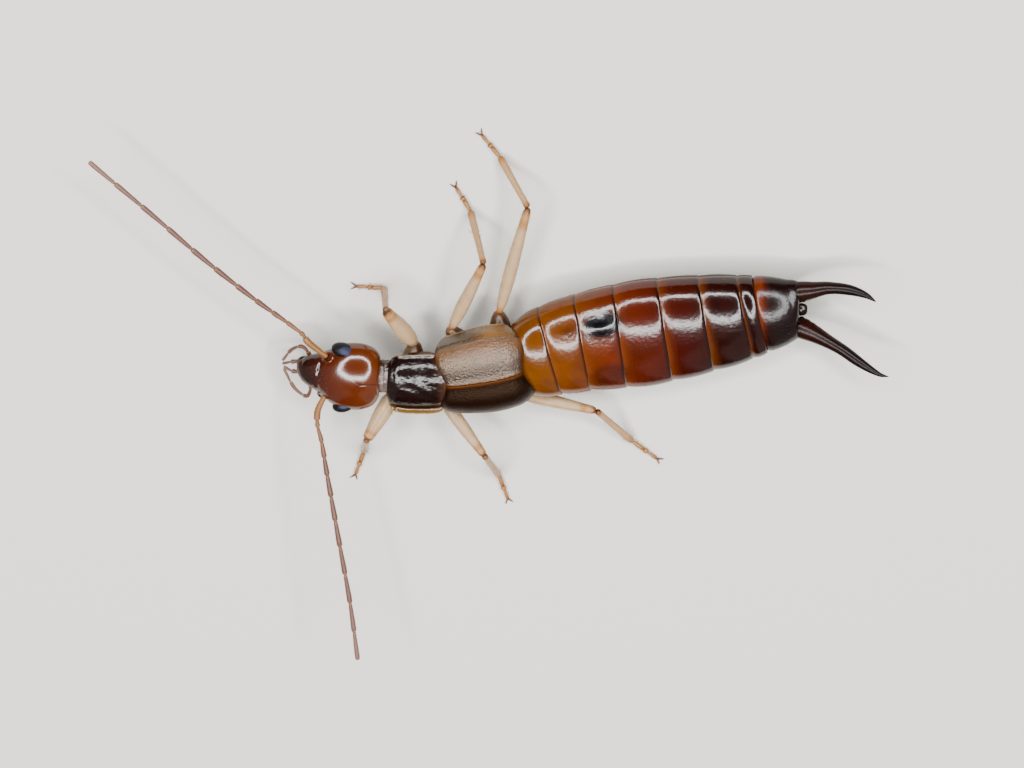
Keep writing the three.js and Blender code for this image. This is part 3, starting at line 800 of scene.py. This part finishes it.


# Three marks on a case: the margin is 0 on the back, 0.5 on the folded side and 1 on its pale rolled
# edge; the seam is 1 beside the straight seam; the height is 1 on the high shoulder of the back, which
# is painted paler as a painted highlight, and 0 by the seam, which is painted darker as painted shade.
CASE_MARKS = {"margin": lambda u, v: 0.5 * (share_of(v, FOLD_LINE, 0.02) + share_of(v, 0.955, 0.02)),
              "seam": lambda u, v: bump_at(v, 0, 0.02),
              "height": lambda u, v: share_of(v, 0.08, 0.42) ** 1.5}


def case_colour(lit_shoulder, dark, fold_front, fold_rear):
    def base(tree, where):
        # Painted highlight and shade: the high shoulder takes the lit colour, and the side by the seam the
        # dark colour, which also gives the clouds.
        ground = mixed(tree, attribute(tree, "height"), dark, lit_shoulder)
        disc = clouded(tree, where, ground, 0.3, 0.6, dark)
        seamed = mixed(tree, attribute(tree, "seam"), disc, "#402005")
        fold = ramp(tree, along_body(tree, where, -1.9, 0.3),
                    [(0, fold_front), (0.35, fold_front), (0.6, fold_rear), (1, fold_front)])
        side = ramp(tree, attribute(tree, "margin"), [(0, "#000000"), (0.5, "#ffffff")])
        edge = ramp(tree, attribute(tree, "margin"), [(0.6, "#000000"), (1, "#ffffff")])
        return mixed(tree, edge, mixed(tree, side, seamed, fold), "#7c5f26")
    return base


# The two cases are one cuticle. The left case gets far darker colours than the right: painted shade, for the
# case that turns away from the lamps.
case_finishes = {
    "right": cuticle("coppery wing case cuticle with painted highlight",
                     case_colour("#4a2a0a", "#160802", "#1c1002", "#603c01"), roughness=0.31, grain=1.0,
                     grain_mm=0.055, depth_mm=0.03, shine=0.9, tint="#fbe4d0", smoother=("margin", 0.12)),
    "left": cuticle("dark brown wing case cuticle in painted shade",
                    case_colour("#120401", "#0c0301", "#120602", "#341c02"), roughness=0.3, grain=0.8,
                    grain_mm=0.05, depth_mm=0.02, shine=0.1, tint="#f4cba4")}
for name, side in (("right", 1), ("left", -1)):
    case = plate_grid("case_" + name, case_surface(side), marks=CASE_MARKS)
    finish_piece(lay_on_spine(case), case_finishes[name], "wing_case_chitin", "wing_case_" + name)

# %% [markdown]
# ## The abdomen
# Its plates lap like roof tiles turned to the rear: each swells a little, ends in a thin edge, and steps
# down to the next. They are polished, and the colour runs from amber behind the wings to deep red, with
# an amber front strip on each plate. One long tube with a profile repeated per plate keeps the steps
# even; separate rings would leave gaps to fill.

# %% Abdomen
ABDOMEN = [(0.12, 0.98, 0.5, 1.7), (0.3, 1.08, 0.44, 1.78), (0.76, 1.28, 0.3, 1.8),
           (1.68, 1.42, 0.12, 1.75), (2.4, 1.49, 0.03, 1.69), (3.47, 1.57, 0.0, 1.63),
           (4.55, 1.51, 0.0, 1.59), (5.64, 1.38, 0.03, 1.55), (6.45, 1.22, 0.12, 1.51),
           (6.72, 1.15, 0.16, 1.48)]
PLATE_STARTS = [0.12, 1.06, 1.93, 2.94, 4.15, 5.26, 6.3, 6.72]
STEP = 0.075
LAP = [(0.0, -1.0), (0.025, -0.92), (0.09, -0.64), (0.2, -0.34), (0.36, -0.1), (0.52, 0.0), (0.68, -0.04),
       (0.82, -0.16), (0.93, -0.32), (0.985, -0.54)]


def lapped_stations():
    stations = []
    for start, end in zip(PLATE_STARTS, PLATE_STARTS[1:]):
        for share, lift in LAP:
            x = start + (end - start) * share
            half, low, high = [value_at(ABDOMEN, x, column) for column in (1, 2, 3)]
            more = STEP * lift
            stations.append((x, half + more / 2, low - min(more / 2, low), high + more))
    return stations


def plate_share(x):
    for start, end in zip(PLATE_STARTS, PLATE_STARTS[1:]):
        if x < end:
            return max(0, (x - start) / (end - start))
    return 1


abdomen = smooth(tube("abdomen_plates", lapped_stations(), 40), 2)
paint(abdomen, "share", lambda co: plate_share(co[0]))
SQUARENESS = 2.35
GLANDS = [(2.48, 0.76, 0.36, 0.24, 1.0), (1.6, 0.78, 0.22, 0.14, 0.25)]
GLANDS_LOWEST = 1.0
GLAND_SWELL = {"right": 0.055, "left": 0.02}
GLAND_DARK = {"right": 1, "left": 0.5}
FLANK_Z, FLANK_HALF, FLANK_OUT, FLANK_DEPTH = 0.72, 0.07, 0.8, 0.05


def squared(x, out, z):
    """A height on the back, flatter in the middle and rounder at the shoulders than an ellipse has."""
    half, low, high = [value_at(ABDOMEN, x, column) for column in (1, 2, 3)]
    centre = (low + high) / 2
    across = min(0.96, abs(out) / half)
    if z <= centre:
        return z
    rounder = (1 - across ** SQUARENESS) ** (1 / SQUARENESS) / math.sqrt(1 - across ** 2)
    return centre + (z - centre) * rounder


def side_of(out):
    return "right" if out > 0 else "left"


def gland(x, out, z, spread=1):
    """How strongly a point lies on one of the paired gland folds of the second and third plates."""
    if z < GLANDS_LOWEST:
        return 0
    return max(size * bump_at(x, at, length * spread) * bump_at(abs(out), side, width * spread)
               for at, side, length, width, size in GLANDS)


def gland_colour_and_shade(point):
    """The gland's own blue-black mark, with painted shade: it lies a little behind its swelling and reaches
    further.
    """
    x, out, z = point
    return min(1, 2.4 * gland(x - 0.06, out, z, 1.4) ** 1.4) * GLAND_DARK[side_of(out)]


# The gland mark is partly the gland's own blue-black colour and partly painted shade behind its swelling.
paint(abdomen, "gland", gland_colour_and_shade)
for vertex in abdomen.data.vertices:
    x, out, z = vertex.co
    vertex.co.z = squared(x, out, z) + GLAND_SWELL[side_of(out)] * gland(x, out, z)
    if abs(out) > FLANK_OUT:
        vertex.co.y -= math.copysign(FLANK_DEPTH * bump_at(z, FLANK_Z, FLANK_HALF), out)
lay_on_spine(abdomen)


def abdomen_colour(tree, where):
    length = ramp(tree, along_body(tree, where, 0.3, 6.7),
                  [(0, "#512b02"), (0.2, "#512602"), (0.36, "#4a1601"), (0.5, "#3a0d01"), (0.64, "#2c0501"),
                   (0.8, "#180301"), (1, "#0c0101")])
    patches = clouded(tree, where, length, 0.7, 0.5, "#290a01")
    strip = ramp(tree, attribute(tree, "share"), [(0, "#ffffff"), (0.12, "#a0a0a0"), (0.26, "#000000")])
    front = add(tree, "Math", {"operation": "MULTIPLY"}, _0=strip, _1=0.55).outputs[0]
    lighter = mixed(tree, front, patches, "#592903")
    # Painted shade: the rear edge of each plate is darkened where it steps down over the next plate.
    edge = ramp(tree, attribute(tree, "share"), [(0.9, "#000000"), (0.97, "#ffffff")])
    rear = add(tree, "Math", {"operation": "MULTIPLY"}, _0=edge, _1=0.75).outputs[0]
    step_shaded = mixed(tree, rear, lighter, "#0f0301")
    return mixed(tree, attribute(tree, "gland"), step_shaded, "#020205")


abdomen_chitin = cuticle("polished amber to red cuticle", abdomen_colour, roughness=0.15, grain=0.35,
                         grain_mm=0.1, under=0.08, shine=0.32)
finish_piece(abdomen, abdomen_chitin, "abdomen_chitin", "abdomen")

# %% [markdown]
# ## The last segment
# The last plate is a heavy, nearly black, glossy block that tapers to the forceps. A small knob, the
# pygidium, sticks out between their roots. Both are short tubes, joined into one piece.

# %% Last segment
END = [(6.66, 0.98, 0.26, 1.4), (6.7, 1.09, 0.2, 1.47), (6.8, 1.125, 0.19, 1.49), (7.0, 1.09, 0.22, 1.5),
       (7.25, 1.02, 0.3, 1.47), (7.5, 0.91, 0.38, 1.4), (7.66, 0.84, 0.46, 1.32), (7.72, 0.78, 0.54, 1.26),
       (7.76, 0.6, 0.64, 1.14)]
KNOB = [(7.7, 0.2, 0.84, 1.1), (7.86, 0.19, 0.84, 1.08), (7.95, 0.15, 0.87, 1.05), (7.98, 0.08, 0.92, 1.0)]


def end_colour(tree, where):
    length = ramp(tree, along_body(tree, where, 6.7, 7.2),
                  [(0, "#4c1a02"), (0.2, "#300b01"), (0.5, "#0e0201"), (1, "#0a0101")])
    return clouded(tree, where, length, 0.4, 0.4, "#120302")


end_chitin = cuticle("near-black cuticle", end_colour, roughness=0.22, grain=0.5, grain_mm=0.1)
last = join("last_segment", [smooth(tube("block", END, 36), 2), smooth(tube("knob", KNOB, 16), 2)])
finish_piece(lay_on_spine(last), end_chitin, "end_chitin", "end_segment")

# %% [markdown]
# ## The forceps
# The forceps are two hard, tapering hooks, broad and toothed at the root and turned in at the tip. They
# are the thickest cuticle of all, so they look nearly black. A curve with a bevel would stay round, so
# each is a tube of two tables, one for its width and one for its height, laid on its own curve.

# %% Forceps
FORCEPS = {
    "right": [(7.62, 3.26, 0.93), (8.1, 3.34, 0.98), (8.54, 3.43, 1.04), (9.07, 3.437, 1.17),
              (9.52, 3.34, 1.3), (9.8, 3.196, 1.42)],
    "left": [(7.62, 2.25, 0.93), (8.2, 2.0, 0.99), (8.9, 1.626, 1.12), (9.41, 1.285, 1.25),
             (9.935, 0.995, 1.38), (10.2, 0.95, 1.44)]}
HOOK_WIDTHS = [(0, 0.285), (0.1, 0.28), (0.22, 0.235), (0.42, 0.175), (0.65, 0.155), (0.82, 0.105),
               (0.94, 0.05), (1, 0.01)]
HOOK_HEIGHTS = [(0, 0.27), (0.15, 0.24), (0.35, 0.18), (0.6, 0.14), (0.8, 0.1), (0.94, 0.045), (1, 0.01)]
HOOK_STATIONS = 18
TEETH = 5
TOOTHED_SHARE = 0.32
TOOTH_LENGTH, TOOTH_HALF, LEDGE = 0.03, 0.08, 0.05


def forceps_colour(tree, where):
    length = ramp(tree, attribute(tree, "share"),
                  [(0, "#100301"), (0.12, "#1c0602"), (0.45, "#100301"), (0.7, "#090202"), (1, "#030101")])
    return clouded(tree, where, length, 0.3, 0.4, "#0e0202")


forceps_chitin = cuticle("polished red-brown hook cuticle", forceps_colour, roughness=0.27, grain=0.08,
                         shine=0.12)
for name, points in FORCEPS.items():
    inward = -1 if name == "right" else 1
    total = path_length(points)
    stations = []
    for i in range(HOOK_STATIONS + 1):
        share = i / HOOK_STATIONS
        width, height = value_at(HOOK_WIDTHS, share), value_at(HOOK_HEIGHTS, share)
        stations.append((share * total, width, -height, height))
    hook = smooth(tube("hook_" + name, stations, 20), 2)
    paint(hook, "share", lambda co: co[0] / total)
    for vertex in hook.data.vertices:
        x, out, up = vertex.co
        share = x / total / TOOTHED_SHARE
        if out * inward > 0 and share < 1:
            tooth = TOOTH_LENGTH * abs(math.sin(math.pi * TEETH * share)) + LEDGE
            vertex.co.y += inward * tooth * (1 - share) * bump_at(up, 0, TOOTH_HALF)
    finish_piece(lay_on_path(hook, points), forceps_chitin, "forceps_chitin", "forceps_" + name)

# %% [markdown]
# ## The legs
# Each leg has a hip cone, a stout thigh, a slim shin, a foot of three joints and two claws. The skin is
# pale straw and half clear, with amber joints and a brown mark at the knee. A leg bends only at its
# joints, so one pattern of each part is modelled, and copies are sized and set between them.

# %% Leg joints and sizes
LEGS = {
    "front_right": [(-2.7, 1.2, 1.0), (-2.62, 1.66, 0.92), (-3.39, 3.05, 1.65), (-3.46, 2.98, 0.12),
                    (-4.2, 3.0, 0.06)],
    "middle_right": [(-1.3, 1.6, 0.85), (-1.66, 2.1, 0.9), (-0.76, 4.36, 1.48), (-1.12, 5.3, 0.12),
                     (-1.5, 5.95, 0.06)],
    "hind_right": [(-0.3, 2.0, 0.8), (-0.36, 2.5, 0.76), (0.43, 5.86, 1.1), (-0.33, 6.9, 0.12),
                   (-0.8, 7.5, 0.06)],
    "front_left": [(-2.85, 0.62, 0.95), (-3.14, 0.3, 0.9), (-3.95, -0.94, 1.5), (-4.05, -2.0, 0.12),
                   (-4.3, -2.75, 0.06)],
    "middle_left": [(-1.6, 0.75, 0.8), (-2.0, 0.12, 0.8), (-0.75, -1.48, 1.4), (-0.36, -2.75, 0.12),
                    (-0.12, -3.5, 0.06)],
    "hind_left": [(-0.25, 0.75, 0.72), (-0.15, 0.1, 0.6), (2.3, -0.37, 0.88), (3.3, -1.7, 0.12),
                  (3.98, -2.27, 0.06)]}
HIP = round_rows((0, 0.7), (0.1, 1), (0.5, 0.95), (0.85, 0.6), (1, 0.4))
HIP_HALF, HIP_OVERLAP = 0.3, 0.1
THIGH = round_rows((0, 0.3), (0.04, 0.55), (0.2, 0.92), (0.4, 1), (0.65, 0.88), (0.85, 0.66), (0.95, 0.66),
                   (1, 0.4))
THIGH_HALF = {"front": 0.25, "middle": 0.19, "hind": 0.19}
SHIN = round_rows((0, 0.5), (0.03, 0.95), (0.1, 0.8), (0.3, 0.82), (0.8, 0.95), (0.96, 1), (1, 0.55))
SHIN_HALF = 0.11
TOE = [*round_rows((0, 0.5), (0.08, 0.75)), (0.7, 1, -1, 0.95), (0.95, 0.9, -1, 0.8), (1, 0.5, -0.6, 0.5)]
TOE_SHARES = [0.46, 0.14, 0.4]
TOE_HALF = [0.07, 0.085, 0.055]
CLAW = round_rows((0, 0.028), (0.08, 0.026), (0.16, 0.016), (0.22, 0.004))
CLAW_SPREAD, CLAW_REACH, CLAW_TIP_Z = 0.55, 0.2, 0.03


def between(piece, start, end):
    """Turns a piece drawn along X so that it runs from start to end, and sets it there."""
    start, end = Vector(start), Vector(end)
    turn = Vector((1, 0, 0)).rotation_difference(end - start).to_matrix().to_4x4()
    piece.data.transform(Matrix.Translation(start) @ turn)
    return piece


def stained(rows, sides, levels, stain):
    """A pattern whose vertices know how brown they are at their x: straw is 0 and brown is 1."""
    piece = smooth(tube("pattern", rows, sides), levels)
    paint(piece, "stain", lambda co: stain(co.x))
    return piece


def thigh_stain(x):
    return 0.6 * bump_at(x, 0, 0.07) + 0.9 * bump_at(x, 1, 0.05) + 0.3 * bump_at(x, 0.86, 0.05)


def shin_stain(x):
    return 0.1 + 0.75 * bump_at(x, 0, 0.06) + 0.3 * bump_at(x, 1, 0.12)


# The hips are brown of their own and are painted darker still, nearly black, as painted shade under the body.
patterns = {"hip": stained(HIP, 16, 2, lambda x: 1.0 - 0.2 * x ** 3),
            "thigh": stained(THIGH, 16, 2, thigh_stain),
            "shin": stained(SHIN, 12, 2, shin_stain),
            "toe": stained(TOE, 12, 2, lambda x: 0.35 + 0.3 * bump_at(x, 1, 0.2)),
            "claw": stained(CLAW, 8, 1, lambda x: 0.8)}


def leg_colour(tree, where):
    skin = ramp(tree, attribute(tree, "stain"),
                [(0, "#957b5d"), (0.3, "#82572b"), (0.6, "#63380b"), (0.85, "#341606"), (1, "#1e0b04")])
    return clouded(tree, where, skin, 0.25, 0.4, "#7e5d36")


leg_chitin = cuticle("pale straw leg cuticle", leg_colour, roughness=0.32, grain=0.2, grain_mm=0.04,
                     under=0.2)

# %% Legs
legs = {}
for name, (hip, root, knee, ankle, toe) in LEGS.items():
    thigh_half = THIGH_HALF[name.split("_")[0]]
    reach = [Vector(b) - Vector(a) for a, b in ((hip, root), (root, knee), (knee, ankle), (ankle, toe))]
    hip_length = reach[0].length + HIP_OVERLAP
    parts = [between(sized(copy_of(patterns["hip"]), hip_length, HIP_HALF), hip, root),
             between(sized(copy_of(patterns["thigh"]), reach[1].length, thigh_half), root, knee),
             between(sized(copy_of(patterns["shin"]), reach[2].length, SHIN_HALF), knee, ankle)]
    spot = Vector(ankle)
    for share, half in zip(TOE_SHARES, TOE_HALF):
        far = spot + reach[3] * share
        parts.append(between(sized(copy_of(patterns["toe"]), reach[3].length * share, half), spot, far))
        spot = far
    for side in (1, -1):
        heading = math.atan2(reach[3].y, reach[3].x) + side * CLAW_SPREAD
        tip = (toe[0] + CLAW_REACH * math.cos(heading), toe[1] + CLAW_REACH * math.sin(heading), CLAW_TIP_Z)
        parts.append(between(copy_of(patterns["claw"]), toe, tip))
    leg = join("leg_of_" + name, parts)
    for vertex in leg.data.vertices:
        vertex.co = place(vertex.co.x, vertex.co.y, max(vertex.co.z, 0.0))
    finish_piece(leg, leg_chitin, "pale_chitin", "leg_" + name)
    legs[name] = leg

# %% [markdown]
# ## The bristles
# Short stiff hairs stand on the legs, feelers and mouth, and a few on the rear plates. They are amber,
# and drawn about twice as thick as life so that they show. Each is a thin three-sided spike, written
# as points, since an operator for each would be slow. Seeded random faces of a piece's skin carry them,
# and they lean to a given point.

# %% Bristles
hair_material, tree = new_material("amber bristle")
hair = add(tree, "BsdfPrincipled", Base_Color=colour("#4e3418"), Roughness=0.4, IOR=CHITIN_IOR,
           Specular_IOR_Level=WAX_SHINE)
tree.links.new(hair.outputs["BSDF"], add(tree, "OutputMaterial").inputs["Surface"])
HAIR_HALF = 0.0045
HAIR_SUNK = 0.01
HAIR_LEAN = 0.75
LEAN_RANGE = (0.4, 1.3)
LENGTH_RANGE = (0.6, 1.2)
SPIKE_SIDES = [(0, 1, 3), (1, 2, 3), (2, 0, 3), (2, 1, 0)]


def by_place(point):
    """A key that sorts alike on each run, since Blender may number a mesh's faces in another order."""
    return [round(value / MM, 4) for value in point]


def bristles(name, piece, count, length, target, keep=lambda point, normal: True):
    """Plants hairs of about length mm that lean to target, on faces that keep(place, normal) allows."""
    mesh = piece.data
    faces = [face for face in mesh.polygons if keep((face.center - SHIFT) / MM, face.normal)]
    faces.sort(key=lambda face: by_place(face.center))
    points, sides = [], []
    for face in random.choices(faces, weights=[face.area for face in faces], k=count):
        corners = sorted((mesh.vertices[i].co for i in face.vertices), key=by_place)
        shares = [random.random() for _ in corners]
        root = sum((corner * share for corner, share in zip(corners, shares)), Vector()) / sum(shares)
        way = face.normal + (place(*target) - root).normalized() * random.uniform(*LEAN_RANGE) * HAIR_LEAN
        way.normalize()
        across = way.orthogonal().normalized() * HAIR_HALF * MM
        first = len(points)
        for turn in range(3):
            corner = Matrix.Rotation(turn * 2 * math.pi / 3, 3, way) @ across
            points.append(root + corner - way * HAIR_SUNK * MM)
        tip = root + way * length * random.uniform(*LENGTH_RANGE) * MM
        points.append(Vector((tip.x, tip.y, max(tip.z, 0))))
        sides += [[first + i for i in corners] for corners in SPIKE_SIDES]
    spikes = bpy.data.meshes.new(name)
    spikes.from_pydata(points, [], sides)
    tuft = bpy.data.objects.new(name, spikes)
    bpy.context.scene.collection.objects.link(tuft)
    return tuft


hairs = [bristles("leg_hair", leg, 150, 0.13, LEGS[name][-1], lambda point, normal: point.z < 1.3)
         for name, leg in legs.items()]
finish_piece(join("leg_bristles", hairs), hair_material, "pale_chitin")
hairs = [bristles("feeler_hair", feeler, 300, 0.05, FEELERS[name][-1]) for name, feeler in feelers.items()]
finish_piece(join("feeler_bristles", hairs), hair_material, "feeler")
hairs = bristles("head_bristles", head, 40, 0.1, (-7, 1.1, 1.8),
                 lambda point, normal: point.x < -4.9 and normal.z > 0.2)
finish_piece(hairs, hair_material, "head_chitin")
hairs = [bristles("end_hair", last, 60, 0.14, (9, 2.9, 2.2), lambda point, normal: normal.z > 0),
         bristles("flank_hair", abdomen, 150, 0.1, (12, 2.9, 1.6),
                  lambda point, normal: abs(normal.y) > 0.5)]
finish_piece(join("rear_bristles", hairs), hair_material, "abdomen_chitin")

# %% [markdown]
# ## Clearing the patterns
# The patterns that the copies came from aren't part of the animal, so they go.

# %% Clear the patterns
for piece in [segment, *patterns.values()]:
    bpy.data.objects.remove(piece)

# %% [markdown]
# ## The floor and the light
# A plain pale floor and soft light, as in a small studio. The floor is matt paper, so it throws no
# mirror image. A ring of eight soft panels stands round the lens, as for close-up pictures: glossy
# plates mirror it as pale loops, which one big panel couldn't give. Two weaker lamps fill the sides.

# %% Floor and light
deselect()
bpy.ops.mesh.primitive_plane_add(size=1.2)
floor = bpy.context.object
floor.name = floor.data.name = "floor"
floor_paper, tree = new_material("pale paper")
paper = add(tree, "BsdfPrincipled", Base_Color=colour("#b9b6af"), Roughness=0.8)
tree.links.new(paper.outputs["BSDF"], add(tree, "OutputMaterial").inputs["Surface"])
floor.data.materials.append(floor_paper)


def lamp(name, offset, size, power):
    light = bpy.data.lights.new(name, "AREA")
    light.shape = "RECTANGLE"
    light.size, light.size_y = [length * MM for length in size]
    light.energy = power
    holder = bpy.data.objects.new(name, light)
    bpy.context.scene.collection.objects.link(holder)
    holder.location = aim + Vector(offset) * MM
    holder.rotation_euler = (aim - holder.location).to_track_quat("-Z", "Y").to_euler()
    return holder


RING_TILT = math.radians(13)
RING_DISTANCE, RING_ACROSS, RING_UP, RING_WIDTH = 115, 74, 58, 17
PANELS = 8
RING_POWER = 0.0022
for i in range(PANELS):
    turn = 2 * math.pi * i / PANELS
    across, up = RING_ACROSS * math.cos(turn), RING_UP * math.sin(turn)
    offset = Matrix.Rotation(-RING_TILT, 3, "X") @ Vector((across, up, RING_DISTANCE))
    run = Vector((RING_UP * math.cos(turn), RING_ACROSS * math.sin(turn)))
    heading = math.atan2(run.y, run.x)
    length = 2 * run.length * math.tan(math.pi / PANELS)
    panel = lamp(f"ring panel {i + 1}", offset, (RING_WIDTH, length), RING_POWER * length)
    panel.rotation_euler = (Matrix.Rotation(-RING_TILT, 4, "X") @ Matrix.Rotation(heading, 4, "Z")).to_euler()
lamp("rear lamp", (100, -90, 80), (220, 160), 0.05)
lamp("front lamp", (-110, -60, 70), (220, 160), 0.04)
world = bpy.data.worlds.new("studio")
world.use_nodes = True
bpy.context.scene.world = world
world.node_tree.nodes["Background"].inputs["Color"].default_value = colour("#dfe3e8")
world.node_tree.nodes["Background"].inputs["Strength"].default_value = 0.06
